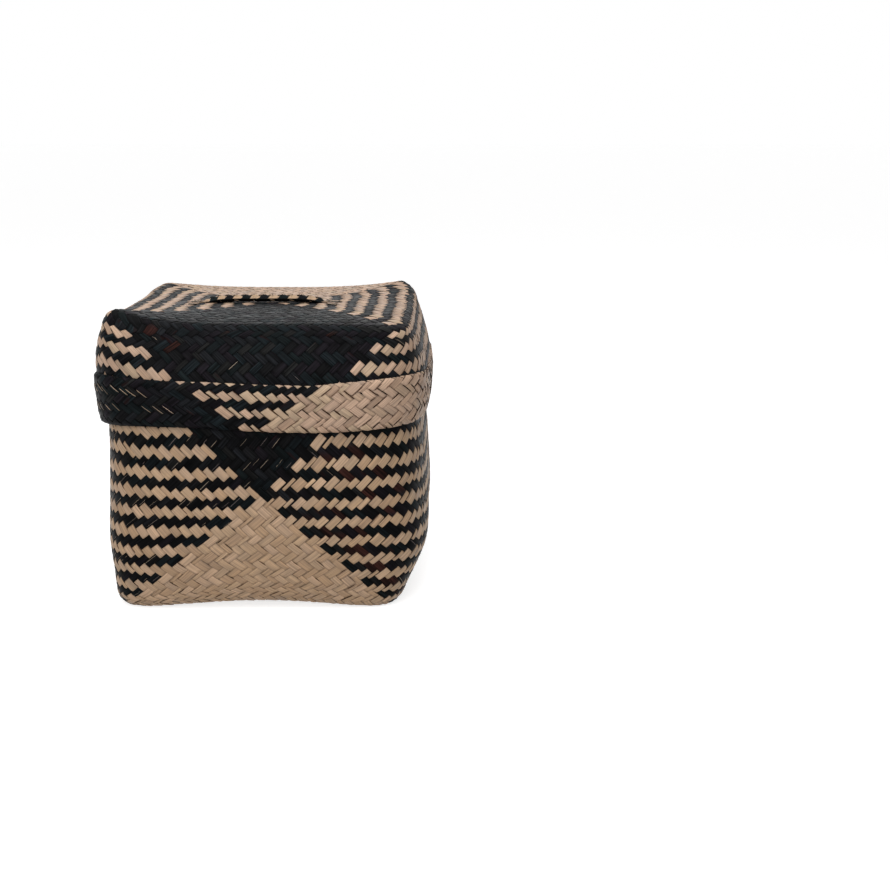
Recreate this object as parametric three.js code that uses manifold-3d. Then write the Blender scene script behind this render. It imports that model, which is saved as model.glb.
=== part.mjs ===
// A plaited keepsake box of flat leaf strips: a square basket with soft, bulging walls,
// and a deep lid that slips down over it and rests on its rim. The rim of the basket is
// folded inwards and the rim of the lid is folded outwards into a broad cuff. A plaited
// strap on the lid passes down through two slits and its tails lie flat underneath.
// Millimetres, +Z up. The origin is the centre of the base, on the surface it stands on.

import * as THREE from 'three';
import { mergeVertices } from 'three/addons/utils/BufferGeometryUtils.js';
import Module from 'manifold-3d';

// Basket: half widths of its outside, measured from the axis to the middle of a face,
// at the heights where the wall changes its lean.
const baseHalf = 107;
const footHalf = 112;
const footHeight = 8;
const hipHalf = 115;
const hipHeight = 26;
const bellyHalf = 119.5;
const bellyHeight = 62;
const waistHalf = 116;
const waistHeight = 136;
const shoulderHalf = 113.4;
const shoulderHeight = 182;
const rimHalf = 107;
const bodyHeight = 210.2;
const bodyWall = 2;

// Plan shape: a square whose corners are rounder halfway up than at the base and the top.
// The number is the power of the superellipse, so a larger one is a sharper corner.
const baseCorner = 8.5;
const middleCorner = 5.2;
const topCorner = 9;
const baseCornerFade = 80;
const topCornerFade = 60;

// Folded rim inside the basket.
const foldDepth = 30;
const foldWall = 1.6;

// Lid.
const lidWall = 2;
const lidBulge = 3.2;
const lidEdgeRadius = 4;
const lidDepth = 76;
const cornerLift = 5;
const cornerLiftFade = 40;

// Cuff folded up round the outside of the lid.
const cuffHeight = 37;
const cuffWall = 2;
const cuffEdge = 0.8;

// Strap: a flat plait that arches over the middle of the lid.
const strapWidth = 12;
const strapThickness = 2.4;
const strapSpan = 92;
const strapShift = -6;
const fingerGap = 6.5;
const tailLength = 16;
const strapBend = 2.6;
const slitClearance = 0.5;

// Clearances.
const slideClearance = 1.1;
const seatGap = 0.3;
const layerGap = 0.3;

// Fineness of the surfaces.
const aroundSteps = 56;
const cornerCrowding = 0.6;
const curveSamples = 240;
const edgeSteps = 3;
const levelSpacing = 10;
const strapCurveSteps = 8;

// Heights that follow from the sizes above.
const lidInside = bodyHeight + seatGap;
const lidTop = lidInside + lidWall;
const lidRim = lidTop - lidDepth;
const wholeTurn = 2 * Math.PI;

function smoothRise(value, from, to) {
  const share = THREE.MathUtils.clamp((value - from) / (to - from), 0, 1);
  return share * share * (3 - 2 * share);
}

// The lean of the basket wall is one smooth curve through the measured half widths.
const wallCurve = new THREE.SplineCurve([
  new THREE.Vector2(baseHalf, 0),
  new THREE.Vector2(footHalf, footHeight),
  new THREE.Vector2(hipHalf, hipHeight),
  new THREE.Vector2(bellyHalf, bellyHeight),
  new THREE.Vector2(waistHalf, waistHeight),
  new THREE.Vector2(shoulderHalf, shoulderHeight),
  new THREE.Vector2(rimHalf, bodyHeight),
]).getPoints(curveSamples);

function bodyHalfAt(height) {
  const upper = wallCurve.findIndex((point) => point.y >= height);
  if (upper < 0) return rimHalf;
  if (upper === 0) return baseHalf;
  const below = wallCurve[upper - 1];
  const above = wallCurve[upper];
  return THREE.MathUtils.mapLinear(height, below.y, above.y, below.x, above.x);
}

// The inside of the lid follows the basket with a running clearance and bulges a little more.
function lidInnerHalfAt(height) {
  const share = THREE.MathUtils.clamp((height - lidRim) / (lidInside - lidRim), 0, 1);
  return bodyHalfAt(height) + slideClearance + lidBulge * Math.sin(Math.PI * share);
}

function lidOuterHalfAt(height) {
  return lidInnerHalfAt(height) + lidWall;
}

function cornerPowerAt(height) {
  const low = (baseCorner - middleCorner) * (1 - smoothRise(height, 0, baseCornerFade));
  const high = (topCorner - middleCorner) * smoothRise(height, lidTop - topCornerFade, lidTop);
  return middleCorner + low + high;
}

// The four top corners stand a little higher than the middle of the edges between them.
function liftAt(x, y, height) {
  const towardsCorner = Math.min(1, (Math.abs(x) * Math.abs(y)) / (rimHalf * rimHalf));
  return cornerLift * towardsCorner ** 2 * smoothRise(height, lidTop - cornerLiftFade, lidTop);
}

function evenly(from, to, steps) {
  return Array.from({ length: steps + 1 }, (unused, i) => from + ((to - from) * i) / steps);
}

// Heights of the rings between two ends. All pieces share them, and a piece that ends beside
// another has a ring of the other at its end, so that the gap between them stays even.
const seamHeights = [footHeight, lidRim, lidRim + cuffHeight, bodyHeight - foldDepth];

function levels(from, to) {
  const apart = levelSpacing / 3;
  const even = evenly(0, lidTop, Math.ceil(lidTop / levelSpacing));
  const free = even.filter((height) => seamHeights.every((seam) => Math.abs(seam - height) > apart));
  const between = [...free, ...seamHeights].filter((height) => {
    return height > from + layerGap && height < to - layerGap;
  });
  return [from, ...between.sort((a, b) => a - b), to];
}

// Turns a profile of (half width, height) points round the axis and squares its circles.
function squareLathe(profile) {
  const geometry = new THREE.LatheGeometry(profile, aroundSteps);
  geometry.rotateX(Math.PI / 2);
  geometry.deleteAttribute('normal');
  geometry.deleteAttribute('uv');
  const positions = geometry.attributes.position;
  const ringSize = profile.length;
  for (let i = 0; i < positions.count; i += 1) {
    const step = Math.floor(i / ringSize) % aroundSteps;
    const { x: half, y: height } = profile[i % ringSize];
    const even = (wholeTurn * step) / aroundSteps;
    const turn = even + (cornerCrowding * Math.sin(4 * even)) / 4;
    const power = cornerPowerAt(height);
    const spread = Math.abs(Math.cos(turn)) ** power + Math.abs(Math.sin(turn)) ** power;
    const radius = half / spread ** (1 / power);
    const x = radius * Math.cos(turn);
    const y = radius * Math.sin(turn);
    positions.setXYZ(i, x, y, height + liftAt(x, y, height));
  }
  return mergeVertices(geometry, 1e-4);
}

// A copy without the triangles that the merging has closed to a line at the axis.
function withoutSlivers(geometry) {
  const index = geometry.index.array;
  const kept = [];
  for (let i = 0; i < index.length; i += 3) {
    const [a, b, c] = [index[i], index[i + 1], index[i + 2]];
    if (a !== b && b !== c && c !== a) kept.push(a, b, c);
  }
  geometry.setIndex(kept);
  return geometry;
}

function upwards(halfAt, heights) {
  return heights.map((height) => new THREE.Vector2(halfAt(height), height));
}

function bodyBasketGeometry() {
  const outside = upwards(bodyHalfAt, [
    ...evenly(0, footHeight, 3).slice(0, -1),
    ...levels(footHeight, bodyHeight),
  ]);
  const inside = upwards((height) => bodyHalfAt(height) - bodyWall, [
    bodyWall,
    ...levels(footHeight, bodyHeight),
  ]);
  return squareLathe([
    new THREE.Vector2(0, 0),
    ...outside,
    ...inside.reverse(),
    new THREE.Vector2(0, bodyWall),
  ]);
}

function bodyRimFoldGeometry() {
  const heights = levels(bodyHeight - foldDepth, bodyHeight);
  const outside = upwards((height) => bodyHalfAt(height) - bodyWall - layerGap, heights);
  const inside = outside.map(({ x, y }) => new THREE.Vector2(x - foldWall, y));
  return squareLathe([...outside, ...inside.reverse(), outside[0]]);
}

function lidShellGeometry() {
  const edgeStart = lidTop - lidEdgeRadius;
  const outside = upwards(lidOuterHalfAt, levels(lidRim, edgeStart));
  const edgeHalf = lidOuterHalfAt(edgeStart) - lidEdgeRadius;
  const edge = evenly(0, Math.PI / 2, edgeSteps).slice(1).map((angle) => new THREE.Vector2(
    edgeHalf + lidEdgeRadius * Math.cos(angle),
    edgeStart + lidEdgeRadius * Math.sin(angle),
  ));
  const innerTop = edgeHalf + lidEdgeRadius - lidWall;
  const inside = upwards(lidInnerHalfAt, levels(lidRim, edgeStart));
  const topRings = [0.9, 0.75, 0.5, 0];
  return squareLathe([
    ...outside,
    ...edge,
    ...topRings.map((share) => new THREE.Vector2(edgeHalf * share, lidTop)),
    ...topRings.reverse().map((share) => new THREE.Vector2(edgeHalf * share, lidInside)),
    new THREE.Vector2(innerTop, lidInside),
    ...inside.reverse(),
    outside[0],
  ]);
}

function lidCuffGeometry() {
  const heights = levels(lidRim, lidRim + cuffHeight);
  const inside = upwards((height) => lidOuterHalfAt(height) + layerGap, heights);
  const outside = inside.map(({ x, y }) => new THREE.Vector2(x + cuffWall, y));
  const softened = outside.map(({ x, y }, i) => {
    const atEnd = i === 0 || i === outside.length - 1;
    return new THREE.Vector2(atEnd ? x - cuffEdge : x, y);
  });
  return squareLathe([...softened, ...inside.reverse(), softened[0]]);
}

// Middle line of half the strap, from the end of its tail under the lid to the top of the arch.
function strapHalfLine() {
  const legX = strapSpan / 2;
  const tailZ = lidInside - layerGap - strapThickness / 2;
  const restZ = lidTop + fingerGap + strapThickness / 2;
  const line = new THREE.Path();
  line.moveTo(legX + strapBend + tailLength, tailZ);
  line.lineTo(legX + strapBend, tailZ);
  line.quadraticCurveTo(legX, tailZ, legX, tailZ + strapBend);
  line.lineTo(legX, lidTop + layerGap);
  line.bezierCurveTo(legX, restZ, legX * 0.72, restZ, 0, restZ);
  return line;
}

// Points on one side of the strap's middle line, half its thickness away from it.
function strapSide(side) {
  const shift = (side * strapThickness) / 2;
  return strapHalfLine().curves.flatMap((curve, i) => {
    const shares = evenly(0, 1, curve.isLineCurve ? 1 : strapCurveSteps);
    return shares.slice(i === 0 ? 0 : 1).map((share) => {
      const point = curve.getPoint(share);
      const along = curve.getTangent(share);
      return new THREE.Vector2(point.x - along.y * shift, point.y + along.x * shift);
    });
  });
}

function strapGeometry() {
  const mirrored = ({ x, y }) => new THREE.Vector2(-x, y);
  const upper = strapSide(-1);
  const lower = strapSide(1);
  const outline = new THREE.Shape([
    ...upper,
    ...upper.slice(0, -1).reverse().map(mirrored),
    ...lower.map(mirrored),
    ...lower.slice(0, -1).reverse(),
  ]);
  const geometry = new THREE.ExtrudeGeometry(outline, { depth: strapWidth, bevelEnabled: false });
  geometry.deleteAttribute('normal');
  geometry.deleteAttribute('uv');
  geometry.translate(0, 0, -strapWidth / 2);
  geometry.rotateX(Math.PI / 2);
  geometry.translate(strapShift, 0, 0);
  return mergeVertices(geometry, 1e-4);
}

function slitGeometry(side) {
  const width = strapThickness + 2 * slitClearance;
  const geometry = new THREE.BoxGeometry(width, strapWidth + 2 * slitClearance, 4 * lidWall);
  geometry.deleteAttribute('normal');
  geometry.deleteAttribute('uv');
  geometry.translate(strapShift + (side * strapSpan) / 2, 0, lidTop - lidWall / 2);
  return mergeVertices(geometry, 1e-4);
}

const wasm = await Module();
wasm.setup();

function solidOf(geometry) {
  const closed = withoutSlivers(geometry);
  return new wasm.Manifold(new wasm.Mesh({
    numProp: 3,
    vertProperties: new Float32Array(closed.attributes.position.array),
    triVerts: new Uint32Array(closed.index.array),
  }));
}

function geometryOf(solid) {
  const mesh = solid.getMesh();
  const geometry = new THREE.BufferGeometry();
  geometry.setAttribute('position', new THREE.BufferAttribute(mesh.vertProperties, 3));
  geometry.setIndex(new THREE.BufferAttribute(mesh.triVerts, 1));
  geometry.computeVertexNormals();
  return geometry;
}

function lidBasketSolid() {
  return solidOf(lidShellGeometry())
    .subtract(solidOf(slitGeometry(-1)))
    .subtract(solidOf(slitGeometry(1)));
}

function leafMaterial(color) {
  return new THREE.MeshStandardMaterial({ color, roughness: 0.7, metalness: 0 });
}

const box = new THREE.Group();

function addPiece(parent, name, solid, color) {
  const mesh = new THREE.Mesh(geometryOf(solid), leafMaterial(color));
  mesh.name = name;
  parent.add(mesh);
}

const body = new THREE.Group();
addPiece(body, 'body_basket', solidOf(bodyBasketGeometry()), 0x9c826b);
addPiece(body, 'body_rim_fold', solidOf(bodyRimFoldGeometry()), 0x2c2c30);
box.add(body);

const lid = new THREE.Group();
addPiece(lid, 'lid_basket', lidBasketSolid(), 0x33343a);
addPiece(lid, 'lid_cuff', solidOf(lidCuffGeometry()), 0x8a725e);
addPiece(lid, 'lid_handle', solidOf(strapGeometry()), 0xb89c80);
box.add(lid);

export default box;
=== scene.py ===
# %% [markdown]
# A box plaited from leaf
#
# This lesson dresses a small lidded box in Blender. The real one is plaited by hand from flat
# strips of leaf, some pale and some dyed black. A frame file holds its plain shells at their
# real size. Here every strip is laid over those shells as its own ribbon, over two and under
# two, the way the maker does it. All lengths are in metres.

# %% Opening the frame
import math

import bmesh
import bpy
import numpy as np
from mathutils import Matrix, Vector
from mathutils.bvhtree import BVHTree


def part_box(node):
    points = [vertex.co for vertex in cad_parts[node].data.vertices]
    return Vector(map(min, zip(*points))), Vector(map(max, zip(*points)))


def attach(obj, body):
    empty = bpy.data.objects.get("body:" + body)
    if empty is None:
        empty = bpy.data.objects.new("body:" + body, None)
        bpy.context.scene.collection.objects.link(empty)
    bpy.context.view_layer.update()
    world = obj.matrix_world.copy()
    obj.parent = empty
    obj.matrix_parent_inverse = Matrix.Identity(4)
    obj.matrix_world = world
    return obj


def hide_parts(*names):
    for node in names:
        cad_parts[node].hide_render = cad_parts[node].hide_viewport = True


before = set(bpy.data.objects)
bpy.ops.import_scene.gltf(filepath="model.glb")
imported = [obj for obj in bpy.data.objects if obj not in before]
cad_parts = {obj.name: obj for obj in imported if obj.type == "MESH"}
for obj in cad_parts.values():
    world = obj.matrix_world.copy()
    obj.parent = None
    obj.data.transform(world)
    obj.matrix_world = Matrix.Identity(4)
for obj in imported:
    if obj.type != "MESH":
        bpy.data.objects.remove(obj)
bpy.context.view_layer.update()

MM = 0.001

# %% [markdown]
# Reading the shells
#
# Each plaited layer has a shell in the frame. Its plan is a superellipse, a square with
# bulging sides and round corners, so at any height two rays tell it all: one to the middle of
# a face gives the half width, and one to a corner gives how square it is.


# %% Shooting rays at a shell
# Where rays start: this far from the axis and from the table, well outside the box.
FAR_OUT = 0.5
FAR_UP = 1.0


def skin_of(node):
    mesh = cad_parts[node].data
    corners = [v.co for v in mesh.vertices]
    return BVHTree.FromPolygons(corners, [p.vertices for p in mesh.polygons])


def reach(skin, direction, height):
    """How far from the axis the outside of a shell lies, in a level direction."""
    outside = direction * FAR_OUT + Vector((0, 0, height))
    hit = skin.ray_cast(outside, -direction)[0]
    return math.hypot(hit.x, hit.y)


TO_FACE = Vector((0, -1, 0))
TO_CORNER = Vector((1, -1, 0)).normalized()


def section(skin, height):
    """Half width and squareness of a shell at a height."""
    half = reach(skin, TO_FACE, height)
    corner = reach(skin, TO_CORNER, height)
    return half, 1 / (0.5 - math.log2(corner / half))


body_skin, lid_skin, cuff_skin = (skin_of(n) for n in ("body_basket", "lid_basket", "lid_cuff"))


def top_of(skin, y):
    """Height of a shell's upper side at x = 0 and a y."""
    return skin.ray_cast(Vector((0, y, FAR_UP)), Vector((0, 0, -1)))[0].z


# The corners of the rim stand up, so its height at the middle of a face is read a millimetre
# inside the wall.
UNDER_CORNER = 6 * MM
corner_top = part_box("body_rim_fold")[1].z
body_top = top_of(body_skin, 1 * MM - reach(body_skin, TO_FACE, corner_top - UNDER_CORNER))
print("half width and squareness at 60 mm:", section(body_skin, 60 * MM))

# %% [markdown]
# Counting strips
#
# The strips run at 45 degrees to the rim. One unit is the distance along the rim from one
# strip to the next, and a face has 28 of them. A place on a wall is (u, t): u units round the
# box from the front left corner, and t units from the edge where the wall meets the base. On
# the base t is below zero, down to minus half a face at its centre.

# %% The count
FACE = 28
ROUND = 4 * FACE
# How thick a plaited layer is, from the top of an upper strip to the bottom of a lower one.
LAYER = 2 * MM
unit = 8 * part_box("body_basket")[1].x / ROUND
print("one unit is about", round(unit / MM, 2), "mm")

# %% [markdown]
# Walking round the outline
#
# The strips are spaced evenly along the rim, so the count u has to be turned into a
# direction from the axis. The arc length of a superellipse has no neat formula, so it is
# measured on a fine fan of angles for a range of squareness, and looked up from there.

# %% A table of directions
SQUARENESS = np.linspace(3.5, 12, 35)
SHARES = np.linspace(0, 1, 121)
FAN_STEPS = 721


def outline_radius(angle, power):
    spread = np.abs(np.cos(angle)) ** power + np.abs(np.sin(angle)) ** power
    return spread ** (-1 / power)


def run_along(points):
    """How far it is along a flat line from its first point to each of them."""
    steps = np.diff(np.array(points)[:, :2], axis=0)
    return np.concatenate([[0], np.cumsum(np.hypot(*steps.T))])


def directions(power):
    angle = np.linspace(-math.pi / 4, math.pi / 4, FAN_STEPS)
    radius = outline_radius(angle, power)
    run = run_along(np.stack([radius * np.cos(angle), radius * np.sin(angle)], -1))
    return np.interp(SHARES * run[-1], run, angle)


DIRECTIONS = np.array([directions(power) for power in SQUARENESS])


def direction_of(u, power):
    """Angle from the axis to a place u units round the box, on an outline that square."""
    face = np.floor(u / FACE)
    share = (u / FACE - face) * (len(SHARES) - 1)
    last_row = len(SQUARENESS) - 1
    row = np.clip(np.interp(power, SQUARENESS, np.arange(last_row + 1)), 0, last_row - 0.001)
    low, left = row.astype(int), np.minimum(share.astype(int), len(SHARES) - 2)
    a, b = row - low, share - left
    before, after = (
        DIRECTIONS[i, left] * (1 - b) + DIRECTIONS[i, left + 1] * b for i in (low, low + 1)
    )
    return before * (1 - a) + after * a + (face - 1) * math.pi / 2


# %% [markdown]
# A layer to plait on
#
# A layer is the middle surface that the strips wander over and under. It is one profile from
# the centre of the base out to the edge and along the wall, given as rows of t, half width,
# height and squareness. Two functions add the small faults of the real box: shape moves a
# finished point, and slide shifts the count u.


# %% The layer class
# In units: how far to either side a normal looks, and where the base starts to count as flat.
NORMAL_STEP = 0.3
FLAT_WITHIN = -1.0


def smooth(value, low, high):
    share = np.clip((value - low) / (high - low), 0, 1)
    return share * share * (3 - 2 * share)


def near(u, middle, reach):
    """1 at a place round the box, falling to 0 at a number of units to either side."""
    away = np.abs(np.mod(u - middle + ROUND / 2, ROUND) - ROUND / 2)
    return smooth(1 - away / reach, 0, 1)


class Layer:
    """A profile with its two functions. outward is 1 or -1, whichever turns the normals out."""

    def __init__(self, rows, outward, shape, slide):
        self.t, *self.profile = (np.array(column) for column in zip(*rows))
        self.outward = outward
        self.shape = shape
        self.slide = slide

    def point(self, u, t):
        u = u + self.slide(u, t)
        half, height, power = (np.interp(t, self.t, column) for column in self.profile)
        angle = direction_of(np.mod(u, ROUND), power)
        radius = half * outline_radius(angle, power)
        place = np.stack([radius * np.cos(angle), radius * np.sin(angle), height], -1)
        return self.shape(place, u, t)

    def normal(self, u, t):
        """Points out of the layer. t is kept inside the profile, which has no slope past its ends."""
        t = np.clip(t, self.t[0], self.t[-1])
        along = self.point(u + NORMAL_STEP, t) - self.point(u - NORMAL_STEP, t)
        down = self.point(u, t + NORMAL_STEP) - self.point(u, t - NORMAL_STEP)
        cross = np.cross(along, down) * self.outward
        flat = np.zeros_like(cross)
        flat[..., 2] = -self.outward
        cross = np.where((t < FLAT_WITHIN)[..., None], flat, cross)
        return cross / np.linalg.norm(cross, axis=-1, keepdims=True)


# %% [markdown]
# The basket's layer
#
# The profile of the basket goes up the wall, turns over the rim and comes down inside, so the
# same ribbons make the fold. The maker pulls the strips tight near the base, so the rows are
# closest there. The units were counted up to a few heights on the real box.


# %% Profiles and their counts
def wall_points(skin, low, high, inset, count):
    """(half width, height, squareness) of a layer a given inset inside a shell."""
    sections = [(section(skin, height), height) for height in np.linspace(low, high, count)]
    return [(half - inset, height, power) for (half, power), height in sections]


def arc(start, radius, angles):
    """Points of a round edge that is outermost at its start, where the angle is 0."""
    half, height, power = start
    return [(half - radius + radius * math.cos(a), height + radius * math.sin(a), power) for a in angles]


def count_units(points, counted, unit_run):
    """Puts the count t before each point. counted gives t at known heights, in millimetres.
    Beyond them one unit is one unit_run of length."""
    heights, units = (np.array(column) for column in zip(*sorted(counted)))
    heights = heights * MM
    known = [heights[0] <= p[1] <= heights[-1] for p in points]
    first = known.index(True)
    last = first + known[first:].index(False) - 1
    run = run_along(points) / unit_run
    t = np.interp([p[1] for p in points], heights, units)
    t[:first] = t[first] + run[:first] - run[first]
    t[last + 1:] = t[last] + run[last + 1:] - run[last]
    return [(count, *p) for count, p in zip(t, points)]


# %% Basket profile
# Height in millimetres and the count of units up to it.
BODY_COUNTED = [
    (1.1, 0), (15.7, 3.25), (28.2, 5.25), (54.6, 9.25), (84, 13.5), (107.1, 16.75), (130.9, 19.75),
]
BODY_UNIT_RUN = 7.5 * MM
BASE_LEVEL = 1.1 * MM
BASE_BEND = 1.6 * MM
WALL_START = 2.2 * MM
FOLD_STEP = 2.1 * MM
RIM_CLEAR = 0.6 * MM
RIM_LEAN = 1.6 * MM
LEAN_DEPTH = 8 * MM
fold_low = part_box("body_rim_fold")[0].z

rim_low = body_top - FOLD_STEP / 2 - RIM_CLEAR
wall = [
    (half - RIM_LEAN * max(0, (height - rim_low) / LEAN_DEPTH + 1) ** 2, height, power)
    for half, height, power in wall_points(body_skin, WALL_START, rim_low, LAYER / 2, 60)
]
wall.insert(0, (wall[0][0] - BASE_BEND, BASE_LEVEL, wall[0][2]))
turn = arc(wall[-1], FOLD_STEP / 2, np.linspace(0, math.pi, 7)[1:-1])
fold = wall_points(body_skin, rim_low, fold_low, LAYER / 2 + FOLD_STEP, 12)
fold[0] = (wall[-1][0] - FOLD_STEP, rim_low, wall[-1][2])
body_rows = count_units(wall + turn + fold, BODY_COUNTED, BODY_UNIT_RUN)
body_rows.insert(0, (-FACE / 2, 0.0, BASE_LEVEL, wall[0][2]))
BODY_END = body_rows[-1][0]
print("strips of the basket run", round(BODY_END, 1), "units from the base to the end of the fold")

# %% [markdown]
# Hand work is never even
#
# The corners of the base act as feet, and the middle of each lower edge lifts off the table.
# Rows sag by a few millimetres near the front left foot and have slid outwards at both front
# feet. The right wall draws in near the base, and the walls wave by a millimetre. The corners
# of the lid stand up, each by its own amount, its edges sag, and its right side leans in. The
# basket's rim follows the lid in all of this, so the two stay clear.

# %% Small faults of the real box
FEET_RISE = 5.5 * MM
BASE_LEAN = 8 * MM
SIDE_STEP = 1.8 * MM
ROW_PULL = 3.5 * MM
WAVE = 0.9 * MM
LONG_WAVE, SHORT_WAVE = 310 * MM, 170 * MM
# In units: how high a foot reaches up the wall, and how far rows have slid sideways.
FOOT_HEIGHT = 4.5
LEFT_SLIDE, RIGHT_SLIDE = -1.05, 0.6
# Where a fault is and how far it reaches, in units round the box.
PULLED_AT, LEFT_SLID_AT, RIGHT_SLID_AT = (3, 11), (5, 16), (24, 9)
# The lid's corners from the front left round the right and back to it, and the middles between.
CORNERS = np.array([7.5, -5.5, 7.3, 5.5, 7.5]) * MM
MIDDLES = np.array([-3.5, -1.5, 0.8, -0.5]) * MM
RIGHT_LEAN = 2.2 * MM
# Pairs of heights between which a fault fades in or out. RISING is counted from the rim.
RISING = (-75 * MM, -40 * MM)
LEANING = (165 * MM, 205 * MM)
UNDER_LID = (110 * MM, 135 * MM)
BASE_LEANING = (8 * MM, 48 * MM)
STEPPING = (0, 30 * MM)
PULLING = (20 * MM, 75 * MM)
PULL_FROM = (0, 14 * MM)
HALF_WIDTH = 120 * MM
SIDE_REACH = 100 * MM


def wave(u, height):
    """Slow unevenness of the walls, from -1 to 1."""
    a = np.sin(math.tau * (4 * u / ROUND + height / LONG_WAVE) + 0.6)
    b = np.sin(math.tau * (7 * u / ROUND - height / SHORT_WAVE) + 2.1)
    return 0.6 * a + 0.4 * b


def top_rise(u):
    """How far the top edge stands above its even height, going round."""
    face = np.floor(np.mod(u, ROUND) / FACE).astype(int) % 4
    share = np.mod(u, FACE) / FACE * 2 - 1
    corner = np.where(share < 0, CORNERS[face], CORNERS[face + 1])
    return MIDDLES[face] + (corner - MIDDLES[face]) * np.abs(share) ** 3


def right_share(place):
    """0 from the middle to the left, growing to 1 at the right wall."""
    return np.clip(place[..., 0] / SIDE_REACH, 0, 1)


def waved(place, out):
    """Moves points outwards, by out at the wall and less towards the middle."""
    return place + place * [1, 1, 0] / HALF_WIDTH * out[..., None]


def raise_top(place, u, on_flat):
    """Lifts and sags the upper edge. on_flat is 0 at the edge and falls to -1 at the middle
    of a lid's top."""
    level = place[..., 2]
    share = smooth(level - body_top, *RISING) * np.clip(1 + on_flat, 0, 1) ** 4
    place[..., 2] += top_rise(u) * share
    place[..., 0] -= RIGHT_LEAN * smooth(level, *LEANING) * right_share(place) ** 2
    return place


def basket_shape(place, u, t):
    share = np.mod(u, FACE) / FACE
    level = place[..., 2]
    in_view = 1 - smooth(level, *UNDER_LID)
    place = waved(place, WAVE * wave(u, level) * in_view * smooth(t, -2, 3))
    place[..., 2] += FEET_RISE * np.sin(math.pi * share) ** 1.5 * np.exp(-((t / FOOT_HEIGHT) ** 2))
    place[..., 0] -= BASE_LEAN * (1 - smooth(level, *BASE_LEANING)) * right_share(place)
    place[..., 0] += SIDE_STEP * smooth(level, *STEPPING) * in_view
    pulled = (1 - smooth(level, *PULLING)) * smooth(level, *PULL_FROM)
    place[..., 2] -= ROW_PULL * near(u, *PULLED_AT) * pulled
    return raise_top(place, u, np.zeros_like(level))


def basket_slide(u, t):
    left = LEFT_SLIDE * near(u, *LEFT_SLID_AT) * (1 - smooth(t, 6, 13))
    right = RIGHT_SLIDE * near(u, *RIGHT_SLID_AT) * (1 - smooth(t, 0, 9))
    return (left + right) * smooth(t, -3, 0.5)


basket_layer = Layer(body_rows, 1, basket_shape, basket_slide)

# %% [markdown]
# Over two, under two
#
# On a wall there are two families of strips. One has u + t constant, the other u - t. Where
# strip i of the first meets strip j of the second, the first lies on top when i - j, counted
# in fours, is 0 or 1. That shift by one from strip to strip draws the zigzag rows.
#
# A strip of the first family on one face comes down, crosses the base corner to corner and
# goes up the next face as a strip of the second. So there are four groups of 28 strips, each
# the last one turned by a quarter. Two neighbouring groups are pale and two are black, which
# is why the front shows a pale triangle standing on its base.

# %% Strips and their widths
rng = np.random.default_rng(7)
WIDTH_SPREAD = 0.24
# In units: the usual gap beside a strip and its spread, and the same for strips that overlap.
HAIRLINE, GAP_SPREAD = 0.02, 0.12
OVERLAP, OVERLAP_SPREAD = 0.016, 0.012
# A strip changes level over RISE to either side of a crossing's edge, beyond a bend of FLAT.
# Its levels are shares of the height of the weave. In the middle of a float it is BOWED.
RISE = 0.28
FLAT = 0.14
BEND = 0.9
BOWED = 1.12


def group_widths():
    """Where the edges of the strips of each group fall, as an offset from an even count."""
    offsets = rng.uniform(-WIDTH_SPREAD, WIDTH_SPREAD, (4, FACE + 1))
    offsets[:, 0] = offsets[:, FACE] = 0
    return offsets


def edge_first(widths, k):
    return k + widths[(k // FACE) % 4, k % FACE]


def edge_second(widths, k):
    place = k % FACE
    return k - widths[(k // FACE - 1) % 4, (FACE - place) % FACE if place else 0]


def first_over(i, j, shift=0):
    """1 where strip i of the first family lies over strip j of the second, -1 where under."""
    return 1 if (i - j - shift) % 4 in (0, 1) else -1


def half_gap(tight=False):
    """Half the gap beside a strip, in units. Most are hairlines. Tight ones just overlap."""
    if tight:
        return OVERLAP_SPREAD * rng.random() - OVERLAP
    return HAIRLINE + GAP_SPREAD * rng.random() ** 5


def float_heights(edges, states):
    """Where a strip changes level along its way: up over a crossing, or down under it."""
    places, levels = [edges[0]], [states[0]]
    for k in range(1, len(states)):
        if states[k] == states[k - 1]:
            places.append(edges[k])
            levels.append(states[k] * BOWED)
        else:
            places += [edges[k] + step for step in (-RISE - FLAT, -RISE, 0, RISE, RISE + FLAT)]
            levels += [states[k - 1], states[k - 1] * BEND, 0, states[k] * BEND, states[k]]
    return places + [edges[-1]], levels + [states[-1]]


# %% [markdown]
# Laying one ribbon
#
# A ribbon starts as a flat grid from bmesh, three points wide. Each point is moved to its
# place on the layer and lifted or lowered along the normal. The outline is marked sharp,
# because smooth shading across a crisp edge of leaf would make it look like a puffed tube.
# Three attributes go with the points for the materials: where on the leaf a point is, how
# near its edge, and the shade of that leaf.

# %% The plait
WEAVE_HEIGHT = 0.55 * MM
LEAF_THICKNESS = 0.4 * MM
LEAF_CROWN = 0.24 * MM
GAP_SHADE_AND_THREAD_THICKNESS = 0.2 * MM


def add_object(name, data):
    made = bpy.data.objects.new(name, data)
    bpy.context.scene.collection.objects.link(made)
    return made


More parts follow.
